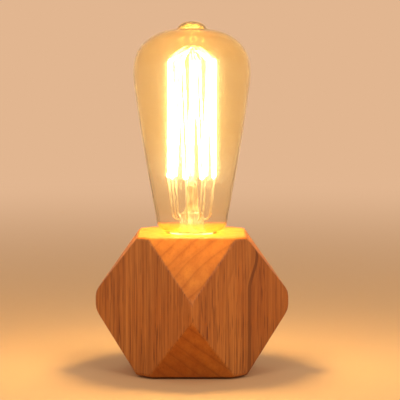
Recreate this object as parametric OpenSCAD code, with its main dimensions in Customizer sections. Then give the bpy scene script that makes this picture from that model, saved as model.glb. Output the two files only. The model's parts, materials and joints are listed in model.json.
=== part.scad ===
// Bare bulb table lamp: a wooden cube with its eight corners cut away, an E27 lampholder sunk
// inside it, and a large pear bulb with a squirrel cage filament standing in its top.
// One upright edge of the cube faces the front (-Y). Millimetres, +Z up, origin under the base.

/* [Wood block] */
// Side of the wooden cube before its corners are cut
cube_w = 76; // [74:1:90]
// Height of the wooden cube
cube_h = 76; // [74:1:90]
// Run of each upper corner cut along the top edges
top_cut = 34.8; // [30:0.2:36]
// Run of each upper corner cut down the upright edges
top_drop = 33.2; // [28:0.2:36]
// Run of each lower corner cut along the bottom edges
foot_cut = 33.8; // [30:0.2:36]
// Run of each lower corner cut up the upright edges
foot_rise = 33.7; // [28:0.2:36]
// Rounding of the wooden edges
edge_r = 2.5; // [1:0.1:4]
// Rounding of what is left of the cube's four upright edges
upright_r = 1.2; // [0.6:0.1:4]
// Distance from the point of each corner cut over which that point is blunted
blunt_tip = 2.8; // [1:0.1:4]
// Gap around the cap's rim in the hole in the top
mouth_gap = 0.9; // [0.5:0.1:3]
// Wood left above the lampholder
mouth_t = 6; // [4:0.5:8]
// Chamfer around the hole in the top
mouth_chamfer = 0.8; // [0.4:0.1:1.5]
// Diameter of the recess in the underside
recess_d = 51; // [49:0.5:52]

/* [Bulb glass] */
// Largest diameter of the glass
bulb_d = 64.2; // [56:0.2:76]
// Height of the widest place above the rim of the bulb's cap
widest_h = 87.3; // [84:0.1:100]
// Height of the crown above the widest place
crown_h = 25.7; // [22:0.1:32]
// How square the crown is: 2 is an ellipse
crown_power = 2.5; // [2:0.1:3]
// How early the body narrows below the widest place: 1 is a straight cone
body_power = 1.18; // [1:0.01:1.5]
// Diameter at the top of the shoulder
waist_d = 39.6; // [34:0.1:44]
// Height of the top of the shoulder above the cap's rim
waist_h = 10; // [8:0.5:14]
// How square the shoulder is: 2 is an ellipse
shoulder_power = 2.2; // [1.6:0.1:2.5]
// Length of the glass neck inside the cap
neck_h = 3.6; // [2.5:0.1:4]
// Diameter of the sealing tip on the crown
tip_d = 15.6; // [10:0.2:20]
// Height of the sealing tip
tip_h = 4.3; // [2:0.1:6]
// Thickness of the glass
glass_t = 1; // [0.6:0.1:1.3]

/* [Bulb cap] */
// Distance from one turn of the screw thread to the next
thread_pitch = 3.629; // [3.4:0.001:3.8]
// Diameter over the crests of the cap's thread
thread_d = 26.2; // [26:0.05:26.4]
// Depth of the thread
thread_depth = 0.9; // [0.7:0.05:1]
// Free space between the cap's thread and the holder's
thread_gap = 0.35; // [0.25:0.05:0.5]
// Length of the cap from its rim to the tip of its contact
cap_len = 26.5; // [25.5:0.1:28]
// Height of the metal shell of the cap
shell_h = 22; // [21:0.1:23]
// Height of the plain skirt above the thread
skirt_h = 4.5; // [4.2:0.1:6]
// Thickness of the cap's sheet metal
cap_sheet = 0.4; // [0.3:0.05:0.5]
// Thickness of the cement between the glass neck and the cap
cement_t = 0.7; // [0.4:0.05:1.2]
// Widening of the cap at its rim
rim_flare = 0.4; // [0.2:0.1:0.5]
// Depth of the cap's rim below the top of the wood
cap_sunk = 1; // [0.5:0.1:2]
// Diameter of the contact at the cap's end
contact_d = 10.8; // [9:0.1:12]
// Thickness of that contact
contact_t = 1.2; // [0.8:0.1:1.6]

/* [Inside the bulb] */
// Height of the glass stem above the cap's rim
stem_h = 27; // [24:0.5:29]
// Diameter of the stem's upper part
stem_d = 6.4; // [6.4:0.2:9]
// Diameter of the glass bead that holds the lower wires
bead_d = 13; // [11:0.5:15]
// Height of the middle of that bead above the cap's rim
bead_h = 9; // [8:0.5:11]
// Length of that bead
bead_len = 5; // [4:0.5:6]
// Diameter of the exhaust tube
exhaust_d = 3.6; // [2.8:0.1:4]
// Diameter of the central glass rod
rod_d = 2.8; // [2:0.1:3]
// Height of the hub of the upper wires above the widest place of the glass
hub_h = 13.4; // [12:0.1:18]
// Diameter of the glass button at the hub
hub_d = 4.4; // [3.6:0.1:6]
// Diameter of the cage of filament strands
cage_d = 26; // [20:0.5:30]
// Height of the cage's lower end above the cap's rim
cage_low = 31.5; // [30:0.5:40]
// Height of the cage's upper end above the widest place of the glass
cage_high = 7.8; // [-8:0.1:8]
// Number of hooks at the top of the cage
hook_count = 9; // [5:1:11]
// Thickness of a filament strand
strand_d = 1.2; // [0.6:0.1:1.4]
// Radius of the turn that the filament makes round each hook
turn_r = 0.9; // [0.8:0.1:1.2]
// Diameter of the wires that hold the filament
wire_d = 0.8; // [0.5:0.1:1]
// How round the arch of each upper wire is: 1 is a straight slope, 2 is an ellipse
arch_power = 1.4; // [1:0.05:2]

/* [Lampholder] */
// Height of the lampholder
holder_h = 52.5; // [48:0.5:57]
// Wall of the lampholder's upper half around the screw shell
skirt_wall = 3.5; // [3:0.1:4.5]
// Wall of the lower half
dome_wall = 2.5; // [2:0.1:3]
// Rounding of the lower half's bottom edge
dome_round = 3; // [1:0.5:4]
// Height of the lower half's collar, which holds the ceramic core up
collar_h = 7.3; // [5:0.1:9]
// Wall of the upper half where it takes the ceramic core
joint_wall = 1.9; // [1.6:0.1:2]
// Lip of the upper half that keeps the screw shell in
lip_t = 1.7; // [1.2:0.1:2.5]
// Gap around the cap's thread in the way in through that lip
lip_gap = 0.9; // [0.5:0.1:1.2]
// Wall of the screw shell outside its thread
shell_wall = 1.45; // [1.2:0.05:1.8]
// Height of the ceramic core
core_h = 9; // [8:0.5:10]
// Diameter of the pocket in the core
pocket_d = 17; // [16:0.5:17.4]
// Depth of that pocket
pocket_h = 4.5; // [4:0.1:5.5]
// Thickness of the contact spring
spring_t = 0.5; // [0.4:0.05:0.6]
// Width of the contact spring
spring_w = 5; // [4:0.5:6]

/* [Fixing] */
// Diameter of the threaded tube under the lampholder
nipple_d = 10; // [9:0.5:11]
// Bore of that tube
nipple_bore = 7.4; // [6:0.2:8]
// Length of that tube
nipple_len = 16.5; // [15:0.5:18]
// Width of the fixing plate
plate_w = 14; // [12:1:18]
// Thickness of the fixing plate
plate_t = 1.5; // [1.2:0.1:2]
// Distance from the recess's wall to the middle of each screw that holds the plate
plate_screw_inset = 2.6; // [2.5:0.1:3.4]
// Distance from the middle to each spacer of the bottom cover
spacer_x = 14.8; // [14:0.1:16]
// Diameter of the spacers
spacer_d = 6; // [5:0.5:7]
// Nominal diameter of the small machine screws
screw_d = 3; // [2.5:0.5:3]
// Diameter of the screws that go into the wood
wood_screw_d = 2.5; // [2:0.1:2.6]
// Length of the screws that go into the wood
wood_screw_len = 10; // [8:1:14]
// Length of the screws that hold the bottom cover
cover_screw_len = 8; // [6:1:9]
// Thickness of the bottom cover
cover_t = 2.5; // [2:0.5:3]
// Thickness of the felt pad
felt_t = 2; // [1.5:0.1:3]
// Height of the wood above the table
felt_proud = 1; // [0.5:0.1:1.4]

/* [Cord inlet] */
// Height of the inlet above the underside of the wood
inlet_h = 9; // [8.5:0.1:10]
// Bore of the bushing that the cord goes through
inlet_bore = 6.2; // [5:0.1:7]
// Outside diameter of the bushing in the wood
bushing_d = 9; // [8:0.1:9.4]
// Diameter of the bushing's flange
flange_d = 12; // [11:0.5:13]
// Thickness of the bushing's flange
flange_t = 1.2; // [0.8:0.1:2]

/* [Hidden] */

$fn = 96;
ball_fn = 32;           // facets of the balls that round the wooden block
thread_fn = 36;         // steps around the screw threads
turn_parts = 8;         // steps along one turn of a thread
wire_fn = 8;            // sides of the thin wires
curve_steps = 12;       // stretches that each curve of the glass is drawn with
fit = 0.1;              // radial clearance of pieces that fit into one another
slack = 0.3;            // gap between pieces that only lie near each other
cut = 1;                // how far a cutter runs past the face that it cuts
front_turn = 45;        // turns the cube so that an upright edge faces the front

// Heights of the wood and of the holder
block_bottom = felt_proud;
block_top = block_bottom + cube_h;
cap_rim_z = block_top - cap_sunk;
contact_z = cap_rim_z - cap_len;
holder_top = block_top - mouth_t - slack;
holder_foot = holder_top - holder_h;
spring_drop = 1;        // depth of the pocket's edge below the ceramic core's top
core_top = contact_z + spring_drop;
core_foot = core_top - core_h;
pocket_floor = core_top - pocket_h;
joint_z = core_foot - collar_h;
shell_top = holder_top - lip_t - fit;
inlet_z = block_bottom + inlet_h;

// Radii of the cap and of the holder around it
crest_r = thread_d / 2;
root_r = crest_r - thread_depth;
rim_r = crest_r + rim_flare;
cap_inner_r = root_r - cap_sheet;
cap_lip_r = cap_inner_r - 2.2;          // inner edge of the cap's turned-in end
shell_inner_r = crest_r + thread_gap;
shell_r = shell_inner_r + shell_wall;
lip_r = crest_r + lip_gap;
holder_r = shell_r + fit + skirt_wall;
core_r = holder_r - joint_wall - fit;
core_seat_r = core_r - 2;
mouth_r = rim_r + mouth_gap;
cavity_r = holder_r + 0.5;
shell_flange_t = 0.8;
shell_flange_r = pocket_d / 2 + 0.5;

// The recess in the underside and what is fixed in it
recess_r = recess_d / 2;
cover_r = recess_r - slack;
cover_top = felt_t + cover_t;
plate_foot = holder_foot - plate_t;
plate_screw_x = recess_r - plate_screw_inset;
spacer_peg_d = 4;       // peg of each spacer, riveted into the plate
washer_t = 0.8;
washer_teeth = 12;
tooth_w = 1.6;
tooth_reach = 1.5;      // how far the washer's teeth stand out past the nut
nut_h = 3;
nut_flats = nipple_d + 4;
nipple_end = 0.7;       // length of the tube that shows below its nut
nipple_foot = plate_foot - washer_t - nut_h - nipple_end;

// The holder's boss and terminals
boss_r = nipple_d / 2 + 3;
boss_h = 10;
set_screw_h = 6.5;      // height of the set screw above the holder's foot
set_screw_len = 5;
pin_d = 3.2;            // pins that carry current through the ceramic core
centre_pin_x = -4.5;
shell_pin_x = 11.3;
terminal_w = 6;
terminal_h = 6;
terminal_depth = 9;
centre_block_x = centre_pin_x - 1.5;
shell_block_x = shell_pin_x - 1.8;
wire_hole_d = 2.2;      // hole in a terminal for a core of the cord

// The bulb's glass, as radii and as heights above the cap's rim
bulb_r = bulb_d / 2;
tip_r = tip_d / 2;
waist_r = waist_d / 2;
neck_r = crest_r - cap_sheet - cement_t;
neck_top = 1.3;         // where the neck starts to widen
crown_end = acos(pow(tip_r / bulb_r, crown_power / 2));
tip_foot = widest_h + crown_h * pow(sin(crown_end), 2 / crown_power);

// The cap's inside, as heights above its rim
cap_foot = -shell_h;
disc_h = 1.2;           // black glass above the cap's turned-in end
lead_exit = cap_foot + cap_sheet + disc_h + 0.9;    // where the centre lead leaves the black glass
exhaust_foot = lead_exit + 3.2;
lead_upright = exhaust_foot + 1.8;                  // where the centre lead stands beside the tube

// The mount inside the glass, as radii and as heights above the cap's rim
stem_r = stem_d / 2;
stem_top_r = 1.6;       // flat on top of the stem that the rod stands on
stem_wall = 1;
bead_r = bead_d / 2;
bead_foot = bead_h - bead_len / 2;
bead_top = bead_h + bead_len / 2;
flange_foot = -neck_h - 0.8;
lead_x = 2.5;           // distance of the lead wires from the middle of the stem
hub_z = widest_h + hub_h;
cage_top = widest_h + cage_high;
cage_r = cage_d / 2;
hook_step = 360 / hook_count;
first_hook = 115;       // direction of the first hook, which puts the filament's two ends at the back
end_gap = 0.3;          // gap between a wire's end and what it holds
turn_angle = asin(turn_r / cage_r);
first_end = first_hook - hook_step / 2;             // direction of the filament's two ends
wire_reach = strand_d / 2 + end_gap;                // from a strand's middle to the wire that holds it

// ---------- Helpers ----------

function polar(r, angle, z) = [r * cos(angle), r * sin(angle), z];
function unit(v) = v / norm(v);
function limit(x) = max(0, min(1, x));
function head_d(d) = d * 1.85;
function head_h(d) = d * 0.55;

// Direction of a path at its point i
function path_way(path, i) =
    let (last = len(path) - 1)
    i == 0 ? unit(path[1] - path[0])
    : i == last ? unit(path[last] - path[last - 1])
    : unit(unit(path[i + 1] - path[i]) + unit(path[i] - path[i - 1]));

// Joins rings of points into one closed skin: ring after ring, and the last one to the first
module ring_skin(rings) {
    count = len(rings);
    sides = len(rings[0]);
    polyhedron(
        points = [for (ring = rings) each ring],
        faces = [
            for (i = [0 : count - 1], k = [0 : sides - 1])
                let (j = (i + 1) % count, m = (k + 1) % sides)
                each [
                    [i * sides + k, j * sides + k, j * sides + m],
                    [i * sides + k, j * sides + m, i * sides + m]
                ]
        ]
    );
}

// A round wire along a path; refs holds one direction per point that the wire never runs along
module wire(path, refs, d) {
    last = len(path) - 1;
    rings = [
        for (i = [0 : last])
            let (way = path_way(path, i), side = unit(cross(way, refs[i])), up = cross(way, side))
            [for (k = [0 : wire_fn - 1])
                let (a = k * 360 / wire_fn)
                path[i] + d / 2 * (cos(a) * side + sin(a) * up)]
    ];
    polyhedron(
        points = [for (ring = rings) each ring],
        faces = concat(
            [[for (k = [0 : wire_fn - 1]) k]],
            [for (i = [0 : last - 1], k = [0 : wire_fn - 1])
                let (m = (k + 1) % wire_fn, a = i * wire_fn, b = a + wire_fn)
                each [[a + k, b + k, b + m], [a + k, b + m, a + m]]],
            [[for (k = [wire_fn - 1 : -1 : 0]) last * wire_fn + k]]
        )
    );
}

// A wire that stays in one upright plane through the axis; path holds [radius, height] pairs
module radial_wire(path, angle, d) {
    wire(
        [for (p = path) polar(p[0], angle, p[1])],
        [for (p = path) polar(1, angle + 90, 0)],
        d
    );
}

module tube(r_out, r_in, h) {
    difference() {
        cylinder(r = r_out, h = h);
        translate([0, 0, -cut]) cylinder(r = r_in, h = h + 2 * cut);
    }
}

// A cross recess in a screw's head, cut down from its top face at z = 0
module cross_recess(d) {
    slot_l = head_d(d) * 0.6;
    slot_w = head_d(d) * 0.12;
    depth = head_h(d) * 0.5;
    for (turn = [0, 90])
        rotate([0, 0, turn])
            translate([-slot_l / 2, -slot_w / 2, -depth]) cube([slot_l, slot_w, depth + cut]);
}

// A screw with a flat-topped round head; its shank points up from z = 0 and its head hangs below
module pan_screw(d, shank) {
    difference() {
        union() {
            cylinder(d = d, h = shank);
            translate([0, 0, -head_h(d)]) cylinder(d = head_d(d), h = head_h(d));
        }
        translate([0, 0, -head_h(d)]) mirror([0, 0, 1]) cross_recess(d);
    }
}

// A countersunk screw whose head is flush with z = 0; its shank points up
module flat_screw(d, shank) {
    difference() {
        union() {
            cylinder(d = d, h = shank);
            cylinder(d1 = head_d(d), d2 = d, h = head_h(d));
        }
        mirror([0, 0, 1]) cross_recess(d);
    }
}

module left_and_right(x) {
    for (side = [-1, 1]) translate([side * x, 0, 0]) children();
}

// Turns +Z to point out of the back right face of the cube
module out_of_back_face() {
    rotate([0, 0, front_turn]) rotate([0, 90, 0]) children();
}

// ---------- Wood block ----------

// Share of a corner cut that is left when every face moves in by the rounding r
function inner_share(run, drop, r) =
    1 + r * norm([1 / run, 1 / run, 1 / drop]) - 2 * r / run - r / drop;

// Centres and radii of the balls that round what one corner cut leaves, at a cube corner at height z
// that runs towards z_way: two at the ends of the cut, and four that blunt its point
function corner_balls(run, drop, z, z_way) =
    let (
        half = cube_w / 2 - edge_r,
        inner_run = run * inner_share(run, drop, edge_r),
        left = [half, half - inner_run, z + z_way * edge_r],
        right = [half - inner_run, half, z + z_way * edge_r],
        upright_half = cube_w / 2 - upright_r,
        inner_drop = drop * inner_share(run, drop, upright_r),
        tip = [upright_half, upright_half, z + z_way * (upright_r + inner_drop)],
        below = tip + [0, 0, z_way * blunt_tip],
        on_left = tip + blunt_tip * unit(left - tip),
        on_right = tip + blunt_tip * unit(right - tip)
    )
    [
        [left, edge_r],
        [right, edge_r],
        [on_left, upright_r],
        [on_right, upright_r],
        [(below + 2 * tip + (on_left + on_right) / 2) / 4, upright_r],
        [below, upright_r]
    ];

module cut_cube() {
    balls = concat(
        corner_balls(top_cut, top_drop, block_top, -1),
        corner_balls(foot_cut, foot_rise, block_bottom, 1)
    );
    rotate([0, 0, front_turn])
        hull()
            for (sx = [-1, 1], sy = [-1, 1], ball = balls)
                translate([sx * ball[0][0], sy * ball[0][1], ball[0][2]])
                    sphere(r = ball[1], $fn = ball_fn);
}

module wood_block() {
    pilot_h = wood_screw_len - plate_t + cut;
    cavity_h = holder_top + slack - holder_foot;
    color([0.66, 0.38, 0.19])
    difference() {
        cut_cube();
        translate([0, 0, block_bottom - cut]) cylinder(r = recess_r, h = holder_foot - block_bottom + cut);
        translate([0, 0, holder_foot - cut]) cylinder(r = cavity_r, h = cavity_h + cut);
        cylinder(r = mouth_r, h = block_top + cut);
        translate([0, 0, block_top - mouth_chamfer])
            cylinder(r1 = mouth_r, r2 = mouth_r + mouth_chamfer + cut, h = mouth_chamfer + cut);
        translate([0, 0, inlet_z])
            out_of_back_face() cylinder(d = bushing_d + fit, h = cube_w);
        left_and_right(plate_screw_x)
            translate([0, 0, holder_foot - cut]) cylinder(d = wood_screw_d + fit, h = pilot_h + cut);
    }
}

// ---------- Underside ----------

module felt_pad() {
    color([0.16, 0.15, 0.14]) cylinder(r = cover_r - slack, h = felt_t);
}

module bottom_cover() {
    color([0.12, 0.12, 0.12])
    difference() {
        translate([0, 0, felt_t]) cylinder(r = cover_r, h = cover_t);
        left_and_right(spacer_x)
            translate([0, 0, felt_t]) {
                translate([0, 0, -cut]) cylinder(d = screw_d + 2 * fit, h = cover_t + 2 * cut);
                cylinder(d1 = head_d(screw_d) + 2 * fit, d2 = screw_d + 2 * fit, h = head_h(screw_d) + fit);
            }
    }
}

module cover_screws() {
    color([0.75, 0.75, 0.77])
    left_and_right(spacer_x) translate([0, 0, felt_t]) flat_screw(screw_d, cover_screw_len);
}

module cover_spacers() {
    tapped_h = cover_screw_len - cover_t + cut;
    color([0.82, 0.72, 0.42])
    left_and_right(spacer_x)
        translate([0, 0, cover_top])
            difference() {
                union() {
                    cylinder(d = spacer_d, h = plate_foot - cover_top);
                    cylinder(d = spacer_peg_d, h = holder_foot - cover_top);
                }
                translate([0, 0, -cut]) cylinder(d = screw_d + fit, h = tapped_h + cut);
            }
}

module fixing_plate() {
    color([0.78, 0.78, 0.76])
    difference() {
        translate([0, 0, plate_foot])
            intersection() {
                cylinder(r = cover_r, h = plate_t);
                translate([-cover_r, -plate_w / 2, 0]) cube([2 * cover_r, plate_w, plate_t]);
            }
        translate([0, 0, plate_foot - cut]) {
            cylinder(d = nipple_d + 2 * fit, h = plate_t + 2 * cut);
            left_and_right(spacer_x) cylinder(d = spacer_peg_d + fit, h = plate_t + 2 * cut);
            left_and_right(plate_screw_x) cylinder(d = wood_screw_d + 2 * fit, h = plate_t + 2 * cut);
        }
    }
}

module plate_screws() {
    color([0.75, 0.75, 0.77])
    left_and_right(plate_screw_x) translate([0, 0, plate_foot]) pan_screw(wood_screw_d, wood_screw_len);
}

module threaded_nipple() {
    color([0.8, 0.7, 0.4])
    translate([0, 0, nipple_foot]) tube(nipple_d / 2, nipple_bore / 2, nipple_len);
}

module nipple_nut() {
    color([0.8, 0.7, 0.4])
    translate([0, 0, plate_foot - washer_t - nut_h])
        difference() {
            cylinder(d = nut_flats / cos(30), h = nut_h, $fn = 6);
            translate([0, 0, -cut]) cylinder(d = nipple_d + fit, h = nut_h + 2 * cut);
        }
}

module toothed_washer() {
    tooth_r = nut_flats / 2 + tooth_reach;
    color([0.7, 0.7, 0.72])
    translate([0, 0, plate_foot - washer_t])
        linear_extrude(washer_t)
            difference() {
                union() {
                    circle(d = nut_flats);
                    for (k = [0 : washer_teeth - 1])
                        rotate(k * 360 / washer_teeth)
                            translate([0, -tooth_w / 2]) square([tooth_r, tooth_w]);
                }
                circle(d = nipple_d + 2 * fit);
            }
}

module cord_bushing() {
    length = cube_w / 2 - recess_r - slack;
    color([0.1, 0.1, 0.1])
    translate([0, 0, inlet_z])
        out_of_back_face()
            difference() {
                union() {
                    translate([0, 0, cube_w / 2 - length]) cylinder(d = bushing_d, h = length);
                    translate([0, 0, cube_w / 2]) cylinder(d = flange_d, h = flange_t);
                }
                cylinder(d = inlet_bore, h = cube_w);
            }
}

// ---------- Lampholder ----------

module holder_dome() {
    inner_r = holder_r - dome_wall;
    bore_r = (nipple_d + fit) / 2;
    shelf = 3;          // height of the thick ring below the joint, and of the slope under it
    color([0.1, 0.1, 0.1])
    difference() {
        rotate_extrude()
            polygon(concat(
                [for (a = [-90 : 15 : 0])
                    [holder_r - dome_round * (1 - cos(a)), holder_foot + dome_round * (1 + sin(a))]],
                [
                    [holder_r, joint_z],
                    [core_r, joint_z],
                    [core_r, core_foot],
                    [core_seat_r, core_foot],
                    [core_seat_r, joint_z - shelf],
                    [inner_r, joint_z - 2 * shelf],
                    [inner_r, holder_foot + dome_wall],
                    [boss_r, holder_foot + dome_wall],
                    [boss_r, holder_foot + boss_h],
                    [bore_r, holder_foot + boss_h],
                    [bore_r, holder_foot]
                ]
            ));
        translate([0, 0, holder_foot + set_screw_h])
            rotate([90, 0, 0]) cylinder(d = screw_d + fit, h = boss_r + cut);
    }
}

module nipple_set_screw() {
    slot_w = 0.6;
    slot_depth = 1;
    color([0.3, 0.3, 0.32])
    translate([0, -nipple_d / 2 - fit, holder_foot + set_screw_h])
        rotate([90, 0, 0])
            difference() {
                cylinder(d = screw_d, h = set_screw_len);
                translate([-screw_d, -slot_w / 2, set_screw_len - slot_depth])
                    cube([2 * screw_d, slot_w, slot_depth + cut]);
            }
}

module holder_skirt() {
    bevel = 0.8;
    bore_r = shell_r + fit;
    color([0.1, 0.1, 0.1])
    rotate_extrude()
        polygon([
            [core_r + fit, joint_z],
            [holder_r, joint_z],
            [holder_r, holder_top - bevel],
            [holder_r - bevel, holder_top],
            [lip_r, holder_top],
            [lip_r, holder_top - lip_t],
            [bore_r, holder_top - lip_t],
            [bore_r, core_top],
            [core_r + fit, core_top]
        ]);
}

module ceramic_core() {
    color([0.93, 0.91, 0.86])
    difference() {
        translate([0, 0, core_foot]) cylinder(r = core_r, h = core_h);
        translate([0, 0, pocket_floor]) cylinder(d = pocket_d, h = pocket_h + cut);
        for (x = [centre_pin_x, shell_pin_x])
            translate([x, 0, core_foot - cut]) cylinder(d = pin_d + fit, h = core_h + 2 * cut);
    }
}

// The contact spring: a strip on the pocket's floor that turns back over itself to the bulb
module contact_spring() {
    bend_r = 1.3;
    bend_x = 4.5;
    tail_x = -7;
    flat_x = [1.4, -2];             // ends of the flat stretch that the bulb's contact presses on
    toe_x = -3.4;
    toe_drop = 0.9;
    top_z = contact_z - fit;
    inner_r = bend_r - spring_t;
    bend_z = pocket_floor + bend_r;
    color([0.85, 0.65, 0.35])
    difference() {
        rotate([90, 0, 0])
            translate([0, 0, -spring_w / 2])
                linear_extrude(spring_w)
                    polygon(concat(
                        [[tail_x, pocket_floor]],
                        [for (a = [-90 : 30 : 90]) [bend_x + bend_r * cos(a), bend_z + bend_r * sin(a)]],
                        [for (x = flat_x) [x, top_z]],
                        [[toe_x, top_z - toe_drop], [toe_x, top_z - toe_drop - spring_t]],
                        [for (i = [1, 0]) [flat_x[i], top_z - spring_t]],
                        [for (a = [90 : -30 : -90]) [bend_x + inner_r * cos(a), bend_z + inner_r * sin(a)]],
                        [[tail_x, pocket_floor + spring_t]]
                    ));
        translate([centre_pin_x, 0, pocket_floor - cut])
            cylinder(d = pin_d + fit, h = spring_t + cut + fit);
    }
}

// A brass block under the core with a tapped hole from below and a hole across it for the wire
module terminal_block(x) {
    tapped_h = terminal_h - 1;
    translate([x, 0, core_foot - terminal_h])
        difference() {
            translate([-terminal_w / 2, -terminal_depth / 2, 0])
                cube([terminal_w, terminal_depth, terminal_h]);
            translate([0, -terminal_depth / 4, -cut]) cylinder(d = screw_d + fit, h = tapped_h + cut);
            translate([-terminal_w, -terminal_depth / 4, terminal_h / 2])
                rotate([0, 90, 0]) cylinder(d = wire_hole_d, h = 2 * terminal_w);
        }
}

// A pin through the core that stands on its terminal block
module terminal_pin(x, top) {
    translate([x, 0, core_foot - cut]) cylinder(d = pin_d, h = top - core_foot + cut);
}

module centre_terminal() {
    rivet_top = pocket_floor + spring_t;
    rivet_h = 0.7;
    color([0.82, 0.72, 0.42])
    union() {
        terminal_block(centre_block_x);
        terminal_pin(centre_pin_x, rivet_top);
        translate([centre_pin_x, 0, rivet_top]) cylinder(d = pin_d + 1, h = rivet_h);
    }
}

module shell_terminal() {
    color([0.82, 0.72, 0.42])
    union() {
        terminal_block(shell_block_x);
        terminal_pin(shell_pin_x, core_top);
    }
}

module terminal_screws() {
    color([0.75, 0.75, 0.77])
    for (x = [centre_block_x, shell_block_x])
        translate([x, -terminal_depth / 4, core_foot - terminal_h])
            pan_screw(screw_d, terminal_h / 2 - wire_hole_d / 2 - slack);
}

// ---------- Screw threads ----------

// 1 on the thread's crest and 0 at its root, for a right-handed thread
function thread_wave(z, angle) = (1 + cos(360 * z / thread_pitch - angle)) / 2;

function flat_ring(z, r) = [for (k = [0 : thread_fn - 1]) polar(r, k * 360 / thread_fn, z)];
function steps_between(low, high) = ceil((high - low) / (thread_pitch / turn_parts));

// The cap's thread runs out to the root at its lower end and to the crest at its upper end
function cap_rings(low, high) = [
    for (i = [0 : steps_between(low, high)])
        let (
            z = low + i * (high - low) / steps_between(low, high),
            start = limit((z - low) / (thread_pitch / 2)),
            stop = limit((high - z) / (thread_pitch / 2))
        )
        [for (k = [0 : thread_fn - 1])
            let (a = k * 360 / thread_fn)
            polar(root_r + thread_depth * (1 - stop * (1 - start * thread_wave(z, a))), a, z)]
];

// The holder's thread runs out to its widest at both ends; listed from the top down
function shell_rings(low, high) = [
    for (i = [0 : steps_between(low, high)])
        let (
            z = high - i * (high - low) / steps_between(low, high),
            share = limit(min(z - low, high - z) / (thread_pitch / 2))
        )
        [for (k = [0 : thread_fn - 1])
            let (a = k * 360 / thread_fn)
            polar(shell_inner_r - thread_depth * share * (1 - thread_wave(z, a)), a, z)]
];

module screw_shell() {
    color([0.85, 0.72, 0.4])
    ring_skin(concat(
        [flat_ring(core_top, shell_flange_r), flat_ring(core_top, shell_r), flat_ring(shell_top, shell_r)],
        shell_rings(core_top + shell_flange_t, shell_top),
        [flat_ring(core_top + shell_flange_t, shell_flange_r)]
    ));
}

module bulb_cap() {
    foot = cap_rim_z + cap_foot;
    high = cap_rim_z - skirt_h;
    flare_foot = cap_rim_z - 1;
    foot_bevel = 0.5;
    color([0.82, 0.68, 0.36])
    ring_skin(concat(
        [flat_ring(foot, cap_lip_r), flat_ring(foot, root_r - foot_bevel)],
        cap_rings(foot + foot_bevel, high),
        [
            flat_ring(flare_foot, crest_r),
            flat_ring(cap_rim_z, rim_r),
            flat_ring(cap_rim_z, rim_r - cap_sheet),
            flat_ring(flare_foot, crest_r - cap_sheet),
            flat_ring(high, crest_r - cap_sheet),
            flat_ring(high - thread_depth, cap_inner_r),
            flat_ring(foot + cap_sheet, cap_inner_r),
            flat_ring(foot + cap_sheet, cap_lip_r)
        ]
    ));
}

// ---------- Bulb: cap end ----------

module cap_contact() {
    round_r = 0.5;
    top = contact_t - fit / 2;
    color([0.75, 0.75, 0.78])
    translate([0, 0, contact_z])
        rotate_extrude()
            polygon([
                [0, 0], [contact_d / 2 - 2 * round_r, 0], [contact_d / 2 - round_r, round_r / 2],
                [contact_d / 2, 2 * round_r], [contact_d / 2, top], [0, top]
            ]);
}

// Black glass that fills the cap's end, with a hole for the lead to the contact
module cap_insulator() {
    foot = contact_z + contact_t;
    lip_z = cap_rim_z + cap_foot;
    disc_foot = lip_z + cap_sheet;
    disc_r = cap_inner_r - 2 * fit;
    hole_r = wire_d / 2 + 2 * fit;
    color([0.12, 0.1, 0.16])
    rotate_extrude()
        polygon([
            [hole_r, foot],
            [contact_d / 2 + 2 * fit, foot],
            [cap_lip_r - fit, lip_z],
            [cap_lip_r - fit, disc_foot],
            [disc_r, disc_foot],
            [disc_r, disc_foot + disc_h],
            [hole_r, disc_foot + disc_h]
        ]);
}

module cap_cement() {
    rim_room = 0.6;     // the cement stops below the cap's rim
    color([0.9, 0.88, 0.8])
    translate([0, 0, cap_rim_z - neck_h + 2 * fit])
        tube(crest_r - cap_sheet - fit, neck_r + fit / 2, neck_h - 2 * fit - rim_room);
}

// ---------- Bulb: glass ----------

// Curves of the glass as [radius, height above the cap's rim]; wall moves them in from the outside
function shoulder_curve(wall) = [
    for (i = [0 : curve_steps])
        let (a = 90 - 90 * i / curve_steps, power = 2 / shoulder_power, foot = neck_top + wall * 0.6)
        [
            neck_r - wall + (waist_r - neck_r) * pow(cos(a), power),
            waist_h - (waist_h - foot) * pow(sin(a), power)
        ]
];
function body_curve(wall) = [
    for (i = [1 : curve_steps])
        let (t = 1 - i / curve_steps)
        [
            bulb_r - wall - (bulb_r - waist_r) * pow(t, body_power),
            widest_h - t * (widest_h - waist_h)
        ]
];
function crown_curve(wall, end_angle) = [
    for (i = [1 : curve_steps])
        let (a = end_angle * i / curve_steps, power = 2 / crown_power)
        [(bulb_r - wall) * pow(cos(a), power), widest_h + (crown_h - wall) * pow(sin(a), power)]
];

module glass_bulb() {
    tip_steps = 6;
    inside_top = widest_h + crown_h - glass_t;
    outside = concat(
        [[neck_r, -neck_h]],
        shoulder_curve(0),
        body_curve(0),
        crown_curve(0, crown_end),
        [for (i = [1 : tip_steps - 1])
            let (a = 90 * i / tip_steps)
            [tip_r * cos(a), tip_foot + tip_h * sin(a)]],
        [[0, tip_foot + tip_h]]
    );
    inside = concat(
        [[neck_r - glass_t, -neck_h]],
        shoulder_curve(glass_t),
        body_curve(glass_t),
        crown_curve(glass_t, 90)
    );
    color([1, 0.8, 0.45, 0.35])
    translate([0, 0, cap_rim_z])
        rotate_extrude()
            polygon(concat(outside, [[0, inside_top]], [for (i = [len(inside) - 2 : -1 : 0]) inside[i]]));
}

// ---------- Bulb: the mount inside the glass ----------

// The flare of the stem, from the bead out to the flange that the neck is fused to
function flare_curve(wall) = [
    for (i = [0 : curve_steps / 2])
        let (t = 2 * i / curve_steps)
        [
            bead_r - wall + (neck_r - stem_wall - bead_r) * pow(t, 2),
            bead_foot + (-neck_h - bead_foot) * t
        ]
];

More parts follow.
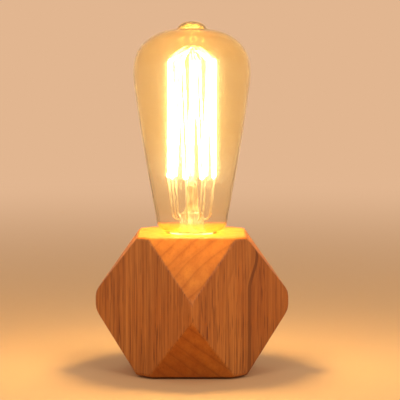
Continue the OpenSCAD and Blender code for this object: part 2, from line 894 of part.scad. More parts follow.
module glass_stem() {
    hollow = flare_curve(stem_wall);
    flare = flare_curve(0);
    last = len(flare) - 1;
    dome_foot = stem_h - stem_r + 1;
    waist_foot = bead_top + 1.2;
    waist_top = bead_top + 4;
    color([1, 0.92, 0.7, 0.5])
    translate([0, 0, cap_rim_z])
        difference() {
            rotate_extrude()
                polygon(concat(
                    [[0, stem_h], [0, bead_h], [bead_r - stem_wall, bead_h]],
                    hollow,
                    [[hollow[last][0], flange_foot], [neck_r, flange_foot], [neck_r, -neck_h]],
                    [for (i = [last : -1 : 0]) flare[i]],
                    [[bead_r, bead_top], [stem_r + 1, waist_foot], [stem_r, waist_top], [stem_r, dome_foot]],
                    [for (a = [30 : 30 : 60])
                        [
                            stem_top_r + (stem_r - stem_top_r) * cos(a),
                            dome_foot + (stem_h - dome_foot) * sin(a)
                        ]],
                    [[stem_top_r, stem_h]]
                ));
            left_and_right(lead_x) cylinder(d = wire_d + fit, h = stem_h + cut);
        }
}

module exhaust_tube() {
    length = bead_h - exhaust_foot;
    tip = 2;            // height of the tube's drawn-out closed end
    color([1, 0.95, 0.8, 0.5])
    translate([0, 0, cap_rim_z + exhaust_foot])
        difference() {
            union() {
                translate([0, 0, tip]) cylinder(d = exhaust_d, h = length - tip);
                cylinder(d1 = exhaust_d / 3, d2 = exhaust_d, h = tip);
            }
            translate([0, 0, tip]) cylinder(d = exhaust_d / 2, h = length);
        }
}

module support_rod() {
    color([1, 0.95, 0.8, 0.5])
    translate([0, 0, cap_rim_z])
        union() {
            translate([0, 0, stem_h]) cylinder(d = rod_d, h = hub_z - stem_h);
            translate([0, 0, hub_z]) sphere(d = hub_d);
        }
}

// Wires that arch from the hub out to the top of each pair of strands
module upper_wires() {
    arch_steps = 8;
    start_r = hub_d / 2 + end_gap;
    end_z = cage_top + wire_reach + wire_d / 2;
    knee_r = cage_r - 3.2;      // the arch ends here, and the wire runs out level to the strands
    knee_z = end_z - 0.3;
    color([1, 0.85, 0.55])
    translate([0, 0, cap_rim_z])
        for (k = [0 : hook_count - 1])
            radial_wire(
                concat(
                    [for (i = [0 : arch_steps])
                        let (a = 90 - 90 * i / arch_steps)
                        [
                            start_r + (knee_r - start_r) * pow(cos(a), 2 / arch_power),
                            knee_z + (hub_z - knee_z) * pow(sin(a), 2 / arch_power)
                        ]],
                    [[cage_r, end_z]]
                ),
                first_hook + k * hook_step,
                wire_d
            );
}

// Wires that hook out of the stem's bead and rise to the bottom of each pair of strands
module lower_wires() {
    elbow_steps = 5;
    start_r = bead_r + wire_d / 2 + end_gap;
    start_z = bead_h - 1;
    elbow_r = bead_r + 4.5;
    elbow_z = bead_top + 1.5;
    color([0.8, 0.78, 0.74])
    translate([0, 0, cap_rim_z])
        for (k = [0 : hook_count - 2])
            radial_wire(
                concat(
                    [for (i = [0 : elbow_steps])
                        let (a = 90 * i / elbow_steps)
                        [
                            start_r + (elbow_r - start_r) * sin(a),
                            elbow_z - (elbow_z - start_z) * cos(a)
                        ]],
                    [[cage_r, cage_low - wire_reach]]
                ),
                first_hook + (k + 0.5) * hook_step,
                wire_d
            );
}

// The two wires that bring current through the stem, one to the contact and one to the cap
module lead_wires() {
    lean = [0.5, -1, 0.4];
    above_stem = stem_h + 1;
    cap_end_h = cap_foot / 2;
    spread = 3;         // the lead to the cap runs this far beside the stem's hole, then turns up as far
    centre_path = [
        [0, 0, -cap_len + contact_t + end_gap],
        [0, 0, lead_exit],
        [lead_x, 0, lead_upright],
        [lead_x, 0, above_stem],
        polar(cage_r, first_end - turn_angle, cage_low - wire_reach)
    ];
    cap_path = [
        [-cap_inner_r + wire_d / 2 + end_gap, 0, cap_end_h],
        [-lead_x - spread, 0, cap_end_h],
        [-lead_x, 0, cap_end_h + spread],
        [-lead_x, 0, above_stem],
        polar(cage_r, first_end + turn_angle, cage_low - wire_reach)
    ];
    color([0.8, 0.78, 0.74])
    translate([0, 0, cap_rim_z])
        for (path = [centre_path, cap_path])
            wire(path, [for (p = path) lean], wire_d);
}

// One strand of wire that runs up and down the cage, round every hook
module filament() {
    turn_steps = 5;
    // One turn as [direction, height]: over the top for way 1, under the bottom for way -1
    function turn(middle, height, way) = [
        for (i = [0 : turn_steps])
            let (a = 180 * i / turn_steps)
            [middle - turn_angle * cos(a), height + way * turn_r * (sin(a) - 1)]
    ];
    route = concat(
        [[first_end + turn_angle, cage_low]],
        [for (k = [0 : hook_count - 1])
            let (hook = first_hook + k * hook_step)
            each concat(
                turn(hook, cage_top, 1),
                k < hook_count - 1 ? turn(hook + hook_step / 2, cage_low, -1) : []
            )],
        [[first_end + 360 - turn_angle, cage_low]]
    );
    color([1, 0.95, 0.75])
    translate([0, 0, cap_rim_z])
        wire(
            [for (p = route) polar(cage_r, p[0], p[1])],
            [for (p = route) polar(1, p[0], 0)],
            strand_d
        );
}

wood_block();
felt_pad();
bottom_cover();
cover_screws();
cover_spacers();
fixing_plate();
plate_screws();
threaded_nipple();
nipple_nut();
toothed_washer();
holder_dome();
nipple_set_screw();
holder_skirt();
ceramic_core();
screw_shell();
contact_spring();
centre_terminal();
shell_terminal();
terminal_screws();
cord_bushing();
cap_contact();
bulb_cap();
cap_insulator();
cap_cement();
glass_bulb();
glass_stem();
exhaust_tube();
support_rod();
upper_wires();
lower_wires();
lead_wires();
filament();
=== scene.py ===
import json
import math

import bmesh
import bpy
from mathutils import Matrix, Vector


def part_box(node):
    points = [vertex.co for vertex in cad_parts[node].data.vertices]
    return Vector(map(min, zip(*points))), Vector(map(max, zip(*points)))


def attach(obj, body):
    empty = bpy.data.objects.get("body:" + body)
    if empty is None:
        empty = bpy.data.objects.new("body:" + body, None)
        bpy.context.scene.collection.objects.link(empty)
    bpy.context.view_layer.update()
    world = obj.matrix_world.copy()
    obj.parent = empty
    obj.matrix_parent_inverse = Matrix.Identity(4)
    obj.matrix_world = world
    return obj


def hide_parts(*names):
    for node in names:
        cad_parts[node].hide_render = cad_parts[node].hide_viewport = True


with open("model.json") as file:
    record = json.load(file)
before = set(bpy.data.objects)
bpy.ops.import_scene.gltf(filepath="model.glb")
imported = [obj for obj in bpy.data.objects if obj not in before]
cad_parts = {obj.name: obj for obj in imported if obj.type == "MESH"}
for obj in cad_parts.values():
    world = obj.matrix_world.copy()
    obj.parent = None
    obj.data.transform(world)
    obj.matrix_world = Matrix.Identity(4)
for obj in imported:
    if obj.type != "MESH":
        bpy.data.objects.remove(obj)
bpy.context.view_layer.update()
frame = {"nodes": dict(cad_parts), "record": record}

MM = 0.001
nodes = frame["nodes"]
record = frame["record"]

# Sizes of the bulb's glass in mm, as in the CAD model; its heights count from the cap's rim
BULB_R, WAIST_R, NECK_R = 32.1, 19.8, 12.0
WIDEST_H, WAIST_H, NECK_TOP, NECK_DEPTH = 87.3, 10.0, 1.3, 3.6
CROWN_H, CROWN_POWER, BODY_POWER, SHOULDER_POWER = 25.7, 2.5, 1.18, 2.2
TIP_R, TIP_H = 7.8, 4.3
GLASS_WALL = 0.6        # the CAD model's is 1 mm, and blown glass of this size is thinner


# ---------- Shader helpers ----------

def rgb(red, green, blue):
    """A colour given as 0-255 display values, as the linear RGBA that shaders take."""
    def linear(value):
        share = value / 255
        return share / 12.92 if share <= 0.04045 else ((share + 0.055) / 1.055) ** 2.4
    return (linear(red), linear(green), linear(blue), 1.0)


def grey(value):
    return (value, value, value, 1.0)


class Finish:
    """A material with a Principled shader and short calls to add nodes to it."""

    def __init__(self, name, **values):
        self.material = bpy.data.materials.new(name)
        self.material.use_nodes = True
        self.tree = self.material.node_tree
        self.tree.nodes.clear()
        self.output = self.tree.nodes.new("ShaderNodeOutputMaterial")
        self.shader = self.add("BsdfPrincipled", values)
        self.surface(self.shader.outputs["BSDF"])

    def plug(self, socket, value):
        """Links another socket to this one, or gives it a plain value."""
        if isinstance(value, bpy.types.NodeSocket):
            self.tree.links.new(value, socket)
        else:
            socket.default_value = value

    def add(self, kind, values=None, **settings):
        node = self.tree.nodes.new("ShaderNode" + kind)
        for name, value in settings.items():
            setattr(node, name, value)
        for name, value in (values or {}).items():
            self.plug(node.inputs[name], value)
        return node

    def surface(self, socket):
        self.tree.links.new(socket, self.output.inputs["Surface"])

    def place(self, scale=(1, 1, 1), turn=(0, 0, 0), shift=(0, 0, 0)):
        """Object coordinates in metres, scaled, turned and shifted."""
        coords = self.add("TexCoord").outputs["Object"]
        values = {"Vector": coords, "Scale": scale, "Rotation": turn, "Location": shift}
        return self.add("Mapping", values).outputs["Vector"]

    def axis(self, vector, name):
        return self.add("SeparateXYZ", {"Vector": vector}).outputs[name]

    def height(self):
        """Height above the table in metres."""
        return self.axis(self.place(), "Z")

    def slant(self):
        """1 where the surface faces up, 0 where it is upright, -1 where it faces down."""
        return self.axis(self.add("NewGeometry").outputs["Normal"], "Z")

    def noise(self, where, scale, detail=2.0, roughness=0.5, distortion=0.0):
        values = {"Vector": where, "Scale": scale, "Detail": detail,
                  "Roughness": roughness, "Distortion": distortion}
        return self.add("TexNoise", values).outputs["Fac"]

    def ramp(self, fac, *stops):
        """Colour ramp; each stop is (place, colour)."""
        node = self.add("ValToRGB", {"Fac": fac})
        points = node.color_ramp.elements
        while len(points) < len(stops):
            points.new(0.5)
        for point, (place, colour) in zip(points, stops):
            point.position = place
            point.color = colour
        return node.outputs["Color"]

    def span(self, value, low, high, to_low=0.0, to_high=1.0, kind="LINEAR"):
        values = {"Value": value, "From Min": low, "From Max": high,
                  "To Min": to_low, "To Max": to_high}
        return self.add("MapRange", values, interpolation_type=kind).outputs["Result"]

    def math(self, operation, *values):
        node = self.add("Math", operation=operation)
        for socket, value in zip(node.inputs, values):
            self.plug(socket, value)
        return node.outputs["Value"]

    def plus(self, first, second):
        return self.math("ADD", first, second)

    def times(self, first, second):
        return self.math("MULTIPLY", first, second)

    def mix(self, fac, first, second, blend="MIX"):
        """Colour mix; its two colour inputs are numbers 6 and 7 of the node."""
        values = {"Factor": fac, 6: first, 7: second}
        return self.add("Mix", values, data_type="RGBA", blend_type=blend).outputs[2]

    def both(self, fac, first, second):
        """Mix of two shaders."""
        return self.add("MixShader", {0: fac, 1: first, 2: second}).outputs["Shader"]

    def colour(self, socket):
        self.plug(self.shader.inputs["Base Color"], socket)

    def gloss(self, socket):
        self.plug(self.shader.inputs["Roughness"], socket)

    def glow(self, socket):
        self.plug(self.shader.inputs["Emission Color"], socket)

    def bump(self, height, strength, depth):
        values = {"Height": height, "Strength": strength, "Distance": depth}
        self.plug(self.shader.inputs["Normal"], self.add("Bump", values).outputs["Normal"])


# ---------- Finishes ----------

def oiled_wood():
    """Solid wood: growth rings that sway, a dark swerving line, upright pores and a soft sheen."""
    wood = Finish("oiled_wood", Roughness=0.5, **{"Specular IOR Level": 0.3})
    ring_turn = math.radians(26)        # direction of the ring planes, seen from above
    ring_w = 4.8 * MM
    line_offset = 33.9 * MM             # from the lamp's axis to the dark line, across the rings
    split = wood.add("SeparateXYZ", {"Vector": wood.place(turn=(0, 0, -ring_turn))})
    along, across, height = (split.outputs[axis] for axis in "XYZ")
    # 1 on the cube's sides, where the grain runs upright, and 0 where the cuts cross it
    upright = wood.span(wood.math("ABSOLUTE", wood.slant()), 0.4, 0.54, 1, 0)

    # the rings sway slowly, and step aside towards the top of the block
    step = wood.span(height, 48 * MM, 66 * MM, 0, 1.9 * MM, "SMOOTHSTEP")
    stepped = wood.math("SUBTRACT", across, step)
    drift = wood.noise(wood.place(scale=(8, 8, 8), shift=(0.3, 1.7, 0.2)), 1.0, 1.0)
    ripple = wood.noise(wood.place(scale=(60, 60, 16), shift=(2.1, 0.4, 1.3)), 1.0, 2.0)
    sway = wood.plus(wood.span(drift, 0, 1, -3 * MM, 3 * MM),
                     wood.span(ripple, 0, 1, -0.7 * MM, 0.7 * MM))
    bow = wood.times(wood.math("POWER", along, 2.0), 1.6)
    ring_place = wood.plus(wood.plus(stepped, sway), bow)

    # each ring has its own tone, and darkens towards its late edge
    turns = wood.math("DIVIDE", ring_place, ring_w)
    phase = wood.math("FRACT", turns)
    ring_tone = wood.add("TexWhiteNoise", {"W": wood.math("FLOOR", turns)},
                         noise_dimensions="1D").outputs["Value"]
    late = wood.ramp(phase, (0.0, grey(1.0)), (0.06, grey(0.3)), (0.5, grey(0.0)),
                     (0.8, grey(0.25)), (1.0, grey(1.0)))
    late_share = wood.span(upright, 0, 1, 0.42, 0.34)

    # the dark line of the right face, with darker wood beyond it, dies away towards the left
    line_place = wood.plus(wood.plus(stepped, line_offset),
                           wood.span(ripple, 0, 1, -0.5 * MM, 0.5 * MM))
    strong = wood.span(along, -5 * MM, 22 * MM, 0.15, 1)
    line_mark = wood.times(wood.span(wood.math("ABSOLUTE", line_place), 0.2 * MM, 0.6 * MM,
                                     1, 0, "SMOOTHSTEP"), strong)
    beyond = wood.times(wood.span(line_place, 0, 0.4 * MM, 0, 1), strong)
    fading = wood.span(line_place, 2 * MM, 12 * MM, 1, 0.25)

    # long streaks, broad bands and short open pores run up the sides and fade out on the cuts
    side_share = wood.span(upright, 0, 1, 0.22, 1)
    streaks = wood.noise(wood.place(scale=(1, 1, 0.018)), 1000, 3.0, 0.65)
    bands = wood.noise(wood.place(scale=(1, 1, 0.03), shift=(0.2, 0.1, 0)), 190, 3.0, 0.55)
    clouds = wood.noise(wood.place(scale=(1, 1, 0.5), shift=(0.7, 0.3, 0)), 28, 2.0)
    pores = wood.noise(wood.place(scale=(1, 1, 0.045), shift=(0.6, 0.2, 0.9)), 1300, 1.5, 0.5)
    pore_mark = wood.times(wood.span(pores, 0.57, 0.66, 0, 1, "SMOOTHSTEP"),
                           wood.span(bands, 0.35, 0.6, 0.3, 1))
    streak_mark = wood.span(streaks, 0.44, 0.64, 0, 0.66)

    tone = wood.ramp(bands, (0.3, rgb(198, 126, 57)), (0.5, rgb(184, 112, 47)),
                     (0.72, rgb(166, 94, 35)))
    for share, colour in (
            (wood.span(ring_tone, 0, 1, 0, 0.35), rgb(204, 130, 60)),
            (wood.span(clouds, 0.35, 0.65, 0, 0.4), rgb(170, 90, 28)),
            (wood.times(late, late_share), rgb(128, 64, 20)),
            (wood.times(beyond, wood.times(fading, 0.42)), rgb(146, 74, 22)),
            (wood.times(streak_mark, side_share), rgb(134, 68, 24)),
            (wood.times(wood.times(pore_mark, 0.75), side_share), rgb(92, 42, 14)),
            (wood.times(line_mark, 0.75), rgb(98, 46, 14))):
        tone = wood.mix(share, tone, colour)
    # cut across the grain the oil sinks in deeper, and the cuts are also painted a warmer, deeper
    # tone that stands in for the bulb's warm light falling on them
    cuts = wood.span(upright, 0, 1, 1, 0)
    wood.colour(wood.mix(cuts, tone, (0.98, 0.88, 0.5, 1), "MULTIPLY"))
    wood.gloss(wood.span(bands, 0.3, 0.7, 0.44, 0.58))
    relief = wood.math("SUBTRACT", wood.times(streaks, -0.35), wood.times(pore_mark, 0.9))
    wood.bump(wood.times(relief, side_share), 0.25, 0.12 * MM)
    return wood.material


def wool_felt():
    felt = Finish("wool_felt", Roughness=0.96, **{"Sheen Weight": 0.35, "Sheen Roughness": 0.6})
    fibres = felt.noise(felt.place(), 2600, 3.0, 0.7, 1.2)
    clumps = felt.noise(felt.place(), 260, 3.0)
    tone = felt.ramp(fibres, (0.3, rgb(34, 33, 32)), (0.7, rgb(66, 63, 60)))
    felt.colour(felt.mix(felt.span(clumps, 0.3, 0.7, 0, 0.35), tone, rgb(26, 25, 25)))
    felt.bump(fibres, 0.8, 0.25 * MM)
    return felt.material


def moulded(name, dark, light, gloss, grain=1500):
    """Moulded plastic: nearly plain, with faint flow marks and a fine surface."""
    plastic = Finish(name, Roughness=gloss)
    flow = plastic.noise(plastic.place(scale=(1, 1, 2.4)), 90, 3.0, 0.5, 1.5)
    fine = plastic.noise(plastic.place(), grain, 2.0)
    plastic.colour(plastic.ramp(flow, (0.3, dark), (0.7, light)))
    plastic.gloss(plastic.span(flow, 0.3, 0.7, gloss - 0.06, gloss + 0.08))
    plastic.bump(fine, 0.15, 0.04 * MM)
    return plastic.material


def metal(name, dark, light, gloss, streaks=(1, 1, 1), scale=420.0):
    """Bare or plated metal: a light tarnish in patches and fine machining lines."""
    finish = Finish(name, Metallic=1.0, Roughness=gloss)
    tarnish = finish.noise(finish.place(), 160, 4.0, 0.6)
    lines = finish.noise(finish.place(scale=streaks), scale, 3.0, 0.6)
    finish.colour(finish.ramp(tarnish, (0.3, dark), (0.68, light)))
    finish.gloss(finish.span(lines, 0.3, 0.7, gloss - 0.07, gloss + 0.1))
    finish.bump(lines, 0.12, 0.03 * MM)
    return finish.material


def porcelain():
    glaze = Finish("glazed_porcelain", Roughness=0.22, **{"Coat Weight": 0.5,
                                                          "Coat Roughness": 0.08})
    mottle = glaze.noise(glaze.place(), 210, 4.0)
    specks = glaze.span(glaze.noise(glaze.place(), 1900, 1.0), 0.70, 0.74, 0, 0.5)
    tone = glaze.ramp(mottle, (0.3, rgb(226, 221, 208)), (0.7, rgb(243, 239, 229)))
    glaze.colour(glaze.mix(specks, tone, rgb(150, 138, 120)))
    glaze.bump(mottle, 0.1, 0.05 * MM)
    return glaze.material


def capping_cement():
    cement = Finish("capping_cement", Roughness=0.92)
    grains = cement.noise(cement.place(), 1500, 4.0, 0.7)
    cement.colour(cement.ramp(grains, (0.3, rgb(198, 190, 168)), (0.7, rgb(232, 226, 208))))
    cement.bump(grains, 0.6, 0.12 * MM)
    return cement.material


def black_glass():
    glass = Finish("black_pressed_glass", Roughness=0.12)
    swirl = glass.noise(glass.place(), 240, 3.0, 0.5, 2.0)
    glass.colour(glass.ramp(swirl, (0.3, rgb(14, 12, 20)), (0.7, rgb(34, 28, 44))))
    glass.bump(swirl, 0.12, 0.05 * MM)
    return glass.material


def clear_glass(name, tone, gloss, ior, haze, haze_gloss, depth_tone, depth):
    """Real glass with a faint haze around what glows behind it: its finish, and its shader."""
    glass = Finish(name, Roughness=gloss, IOR=ior, **{"Base Color": tone,
                                                      "Transmission Weight": 1.0})
    hazy = glass.add("BsdfPrincipled", {"Base Color": tone, "Roughness": haze_gloss, "IOR": 1.35,
                                        "Transmission Weight": 1.0})
    body = glass.add("VolumeAbsorption", {"Color": depth_tone, "Density": depth})
    glass.tree.links.new(body.outputs["Volume"], glass.output.inputs["Volume"])
    return glass, glass.both(haze, glass.shader.outputs["BSDF"], hazy.outputs["BSDF"])


def let_lamps_through(glass, seen, tint):
    """Lamps shine straight through the glass with a tint, and the eye sees the real thing."""
    path = glass.add("LightPath")
    lamp_ray = glass.math("MAXIMUM", path.outputs["Is Shadow Ray"], path.outputs["Is Diffuse Ray"])
    clear = glass.add("BsdfTransparent", {"Color": tint})
    glass.surface(glass.both(lamp_ray, seen, clear.outputs["BSDF"]))


def amber_glass():
    """Blown glass that is amber where the eye looks along its wall."""
    glass, seen = clear_glass("amber_glass", (1.0, 0.93, 0.72, 1), gloss=0.0, ior=1.33, haze=0.09,
                              haze_gloss=0.48, depth_tone=(1.0, 0.72, 0.26, 1), depth=140.0)
    # the tint thins out towards the neck, where the drawn glass has faint upright flutes
    height = glass.height()
    glass.colour(glass.ramp(glass.span(height, 80 * MM, 150 * MM), (0.0, (1.0, 0.985, 0.94, 1)),
                            (0.35, (1.0, 0.97, 0.86, 1)), (0.75, (1.0, 0.93, 0.70, 1))))
    flutes = glass.noise(glass.place(scale=(1, 1, 0.06)), 330, 2.0)
    low_down = glass.span(height, 95 * MM, 150 * MM, 1, 0.12)
    glass.bump(glass.times(flutes, low_down), 0.5, 0.35 * MM)
    # the inside of the crown and tip mirrors the cage below it
    from_axis = glass.add("VectorMath", {0: glass.place(scale=(1, 1, 0))}, operation="LENGTH")
    share = glass.times(glass.span(glass.slant(), -0.05, -0.3, 0, 1),
                        glass.span(from_axis.outputs["Value"], 17 * MM, 23 * MM, 0.5, 0.13))
    mirror = glass.add("BsdfGlossy", {"Color": (1.0, 0.92, 0.66, 1), "Roughness": 0.02})
    let_lamps_through(glass, glass.both(share, seen, mirror.outputs["BSDF"]), (1.0, 0.955, 0.87, 1))
    return glass.material


def stem_glass():
    """Drawn glass with a painted glow in long streaks, standing in for the filament's light that it
    carries.
    """
    glass, seen = clear_glass("stem_glass", (1.0, 0.97, 0.90, 1), gloss=0.03, ior=1.5, haze=0.25,
                              haze_gloss=0.5, depth_tone=(1.0, 0.9, 0.6, 1), depth=40.0)
    # painted glow: emission in streaks stands in for the filament's light carried along the glass
    streaks = glass.noise(glass.place(scale=(1, 1, 0.12)), 620, 2.0, 0.6)
    glass.glow(glass.ramp(streaks, (0.36, (0.02, 0.01, 0.002, 1)), (0.5, (0.12, 0.08, 0.02, 1)),
                          (0.62, (0.7, 0.55, 0.22, 1))))
    glass.shader.inputs["Emission Strength"].default_value = 1.0
    let_lamps_through(glass, seen, (1.0, 0.97, 0.88, 1))
    return glass.material


def glowing(name, colour, strength):
    """White-hot wire, a little cooler in patches."""
    hot = Finish(name, Roughness=0.5, **{"Base Color": (0.8, 0.6, 0.35, 1),
                                         "Emission Strength": strength})
    patches = hot.noise(hot.place(), 140, 1.0)
    cooler = tuple(0.92 * part for part in colour)
    hot.glow(hot.ramp(patches, (0.35, cooler + (1,)), (0.65, colour + (1,))))
    return hot.material


def nickel_wire():
    """Nickel wire with a painted glow that rises towards the filament, standing in for the
    filament's light falling on it and its heat.
    """
    wire = Finish("nickel_wire", Metallic=1.0, Roughness=0.3, **{"Emission Strength": 1.0})
    drawn = wire.noise(wire.place(), 500, 3.0)
    wire.colour(wire.ramp(drawn, (0.3, rgb(190, 176, 150)), (0.7, rgb(224, 210, 182))))
    # painted glow: emission rising towards the filament stands in for its light on the wire, and
    # its heat
    painted_light_and_heat = wire.span(wire.height(), 80 * MM, 110 * MM, 0, 1)
    wire.glow(wire.ramp(painted_light_and_heat, (0.0, (0.02, 0.01, 0.003, 1)), (0.3, (0.35, 0.22, 0.08, 1)),
                        (1.0, (1.4, 1.0, 0.5, 1))))
    return wire.material


def make_finishes():
    """One material for each slot of the record."""
    upright, level = (1, 1, 9), (1, 12, 1)      # stretch of the machining lines
    return {
        "wood": oiled_wood(),
        "felt": wool_felt(),
        "black_plastic": moulded("matt_black_plastic", rgb(24, 24, 25), rgb(36, 35, 35), 0.55),
        "bakelite": moulded("bakelite", rgb(20, 17, 15), rgb(38, 30, 25), 0.26, grain=600),
        "rubber": moulded("black_rubber", rgb(22, 22, 22), rgb(34, 33, 32), 0.72),
        "zinc_steel": metal("zinc_plated_steel", rgb(168, 170, 174), rgb(206, 207, 208), 0.34),
        "blackened_steel": metal("blackened_steel", rgb(58, 58, 62), rgb(92, 92, 96), 0.42),
        "brass": metal("bare_brass", rgb(186, 150, 82), rgb(222, 190, 118), 0.27, upright),
        "cap_brass": metal("pressed_brass", rgb(196, 158, 86), rgb(230, 198, 124), 0.2, upright),
        "spring_bronze": metal("spring_bronze", rgb(188, 132, 74), rgb(222, 170, 108), 0.25, level),
        "solder": metal("tinned_solder", rgb(150, 150, 154), rgb(196, 196, 200), 0.4, scale=220.0),
        "porcelain": porcelain(),
        "vitrite": black_glass(),
        "cement": capping_cement(),
        "amber_glass": amber_glass(),
        "stem_glass": stem_glass(),
        "nickel_wire": nickel_wire(),
        "hot_wire": glowing("hot_wire", (1.0, 0.80, 0.42), 3.2),
        "filament": glowing("filament_glow", (1.0, 0.84, 0.44), 26.0),
    }


def finish_cad_nodes(finishes):
    """Gives each CAD node the finish of its slot, and smooth shading up to its edges."""
    for part in record["subparts"]:
        node = nodes[part["node"]]
        node.data.materials.clear()
        node.data.materials.append(finishes[part["material_slot"]])
        node.data.shade_smooth()
        node.modifiers.new("joined", "WELD").merge_threshold = 0.002 * MM
        node.modifiers.new("edges", "EDGE_SPLIT").split_angle = math.radians(32)


# ---------- Blown glass and felt ----------

def link_mesh(name, mesh):
    """Turns a finished bmesh into an object of the scene."""
    data = bpy.data.meshes.new(name)
    mesh.to_mesh(data)
    mesh.free()
    piece = bpy.data.objects.new(name, data)
    bpy.context.scene.collection.objects.link(piece)
    return piece


def list_faces_in_order(mesh):
    """Sorts the faces by the numbers of their points, because a spin lists them in any order."""
    mesh.verts.index_update()
    count = len(mesh.verts)

    def number(face):
        low, following, *_, high = sorted(vert.index for vert in face.verts)
        return (low * count + following) * count + high
    mesh.faces.sort(key=number)


def spin_round(name, outline, finish, steps=128):
    """Turns an outline of (radius, height) in mm, closed or from axis to axis, about Z."""
    mesh = bmesh.new()
    ring = [mesh.verts.new((radius * MM, 0, height * MM)) for radius, height in outline]
    edges = [mesh.edges.new(pair) for pair in zip(ring, ring[1:])]
    if outline[0][0] > 0 and outline[-1][0] > 0:
        edges.append(mesh.edges.new((ring[-1], ring[0])))
    bmesh.ops.spin(mesh, geom=ring + edges, cent=(0, 0, 0), axis=(0, 0, 1), angle=math.tau,
                   steps=steps, use_merge=True, use_normal_flip=False, use_duplicate=False)
    bmesh.ops.remove_doubles(mesh, verts=mesh.verts, dist=0.002 * MM)
    bmesh.ops.recalc_face_normals(mesh, faces=mesh.faces)
    list_faces_in_order(mesh)
    piece = link_mesh(name, mesh)
    piece.data.shade_smooth()
    piece.data.materials.append(finish)
    return piece


def cut_felt(finish):
    """The felt disc under the lamp, with its cut rim softened."""
    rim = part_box("felt_pad")[1]
    radius, thick, soft = rim.x / MM, rim.z / MM, 0.5
    corner_steps = 6
    corner = [(soft * math.cos(a), soft * math.sin(a))
              for a in (math.pi / 2 / corner_steps * i for i in range(corner_steps + 1))]
    lower = [(radius - soft + x, soft - y) for x, y in reversed(corner)]
    upper = [(radius - soft + x, thick - soft + y) for x, y in corner]
    underside = [(0, 0), (radius / 3, 0), (radius * 2 / 3, 0)]
    return spin_round("felt_disc", underside + lower + upper + [(0, thick)], finish, 96)


def glass_curve(wall, tip_r):
    """The bulb's outline up to its tip as (radius, height) in mm, moved in by the wall."""
    steps = 28
    foot = NECK_TOP + 0.6 * wall
    curve = []
    for i in range(steps + 1):                  # shoulder
        a = math.pi / 2 * (1 - i / steps)
        out, down = math.cos(a) ** (2 / SHOULDER_POWER), math.sin(a) ** (2 / SHOULDER_POWER)
        curve.append((NECK_R - wall + (WAIST_R - NECK_R) * out, WAIST_H - (WAIST_H - foot) * down))
    for i in range(1, steps + 1):               # body
        t = 1 - i / steps
        curve.append((BULB_R - wall - (BULB_R - WAIST_R) * t ** BODY_POWER,
                      WIDEST_H - t * (WIDEST_H - WAIST_H)))
    for i in range(1, steps + 1):               # crown
        a = math.pi / 2 * i / steps
        out, up = max(math.cos(a), 0) ** (2 / CROWN_POWER), math.sin(a) ** (2 / CROWN_POWER)
        curve.append(((BULB_R - wall) * out, WIDEST_H + (CROWN_H - wall) * up))
    return [point for point in curve if point[1] < WIDEST_H or point[0] > tip_r]


def tip_curve(foot, radius, height):
    """The round tip on a crown that ends at the height of its foot, up to its top on the axis."""
    steps = 14
    dome = [(radius * math.cos(a), foot + height * math.sin(a))
            for a in (math.pi / 2 * i / steps for i in range(1, steps))]
    return dome + [(0, foot + height)]


def blow_bulb(finish):
    """The bulb's glass: pear body, rounded crown and hollow sealing tip, with a real wall."""
    rim_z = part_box("bulb_cap")[1].z / MM
    hollow_r, hollow_h = TIP_R - GLASS_WALL, TIP_H - GLASS_WALL
    outside = [(NECK_R, -NECK_DEPTH)] + glass_curve(0, TIP_R)
    outside += tip_curve(outside[-1][1], TIP_R, TIP_H)
    inside = [(NECK_R - GLASS_WALL, -NECK_DEPTH)] + glass_curve(GLASS_WALL, hollow_r)
    inside += tip_curve(inside[-1][1], hollow_r, hollow_h)
    # from the inner top on the axis down to the neck, and up again outside
    outline = [(radius, rim_z + height) for radius, height in inside[::-1] + outside]
    return spin_round("blown_glass", outline, finish)


# ---------- Studio ----------

BACKGROUND = rgb(226, 182, 144)


def make_floor():
    """A pale floor that fades into the background further out."""
    radius, fade_start, fade_end = 4.0, 0.2, 1.3        # metres from the lamp
    mesh = bmesh.new()
    bmesh.ops.create_circle(mesh, cap_ends=True, cap_tris=False, segments=96, radius=radius)
    floor = link_mesh("floor", mesh)
    paint = Finish("pale_floor", Roughness=0.8, **{"Base Color": rgb(212, 166, 114)})
    where = paint.add("TexCoord").outputs["Object"]
    distance = paint.add("VectorMath", {0: where}, operation="LENGTH").outputs["Value"]
    far = paint.span(distance, fade_start, fade_end, 0, 1, "SMOOTHSTEP")
    backdrop = paint.add("Emission", {"Color": BACKGROUND, "Strength": 1.0})
    paint.surface(paint.both(far, paint.shader.outputs["BSDF"], backdrop.outputs["Emission"]))
    floor.data.materials.append(paint.material)


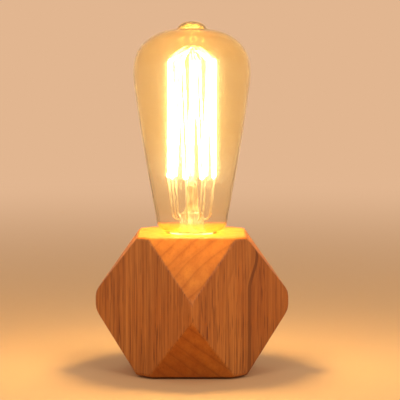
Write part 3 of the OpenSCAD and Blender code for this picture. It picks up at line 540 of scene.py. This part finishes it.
def make_world():
    """Plain soft light all round; the camera, glass and metal see the background's colour in it."""
    world = bpy.data.worlds.new("studio")
    bpy.context.scene.world = world
    world.use_nodes = True
    tree = world.node_tree
    light = tree.nodes["Background"]
    light.inputs["Color"].default_value = (1.0, 0.93, 0.86, 1)
    light.inputs["Strength"].default_value = 0.54
    backdrop = tree.nodes.new("ShaderNodeBackground")
    backdrop.inputs["Color"].default_value = BACKGROUND
    path = tree.nodes.new("ShaderNodeLightPath")
    seen = path.outputs["Is Camera Ray"]
    for kind in ("Is Glossy Ray", "Is Transmission Ray"):
        either = tree.nodes.new("ShaderNodeMath")
        either.operation = "MAXIMUM"
        tree.links.new(seen, either.inputs[0])
        tree.links.new(path.outputs[kind], either.inputs[1])
        seen = either.outputs["Value"]
    choose = tree.nodes.new("ShaderNodeMixShader")
    tree.links.new(seen, choose.inputs[0])
    tree.links.new(light.outputs["Background"], choose.inputs[1])
    tree.links.new(backdrop.outputs["Background"], choose.inputs[2])
    tree.links.new(choose.outputs["Shader"], tree.nodes["World Output"].inputs["Surface"])


def hang_lamp(name, kind, place, power, colour):
    lamp = bpy.data.lights.new(name, kind)
    lamp.energy = power
    lamp.color = colour
    holder = bpy.data.objects.new(name, lamp)
    holder.location = place
    bpy.context.scene.collection.objects.link(holder)
    return holder


def make_lights():
    """Two softboxes in front of the lamp, and hidden lamps that give the filament's own light."""
    aim = Vector((0, 0, 0.08))
    for name, place, power in (("softbox_left", (-0.8, -1.3, 1.2), 6.6),
                               ("softbox_right", (0.9, -1.2, 1.0), 9.2)):
        softbox = hang_lamp(name, "AREA", place, power, (1.0, 0.95, 0.89))
        softbox.data.size = 0.9
        softbox.rotation_mode = "QUATERNION"
        softbox.rotation_quaternion = (Vector(place) - aim).to_track_quat("Z", "Y")
    for height, power in ((112, 0.30), (130, 0.38), (148, 0.54), (166, 0.66)):
        place = (0, 0, height * MM)
        inside = hang_lamp("filament_light", "POINT", place, power, (1.0, 0.88, 0.52))
        inside.data.shadow_soft_size = 0.012
        inside.visible_glossy = False
        inside.visible_camera = False
        inside.visible_transmission = False


def make_camera():
    """The photograph's viewpoint: level with the crown, 1.16 m in front, tilted down a little."""
    side, distance, height = 4.43, 1163.25, 197.90      # mm from the lamp's axis and the table
    tilt = 0.08843                                      # radians below level
    lens = bpy.data.cameras.new("camera")
    lens.sensor_width = 36.0
    lens.lens = 190.96
    camera = bpy.data.objects.new("camera", lens)
    camera.location = (side * MM, -distance * MM, height * MM)
    camera.rotation_euler = (math.pi / 2 - tilt, 0, 0)
    bpy.context.scene.collection.objects.link(camera)
    bpy.context.scene.camera = camera
    bpy.context.scene.view_settings.view_transform = "Standard"


# ---------- The lamp ----------

def main():
    finishes = make_finishes()
    finish_cad_nodes(finishes)
    bulb = blow_bulb(finishes["amber_glass"])
    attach(bulb, "bulb")
    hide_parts("glass_bulb")
    felt = cut_felt(finishes["felt"])
    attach(felt, "base")
    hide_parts("felt_pad")
    make_floor()
    make_world()
    make_lights()
    make_camera()


main()
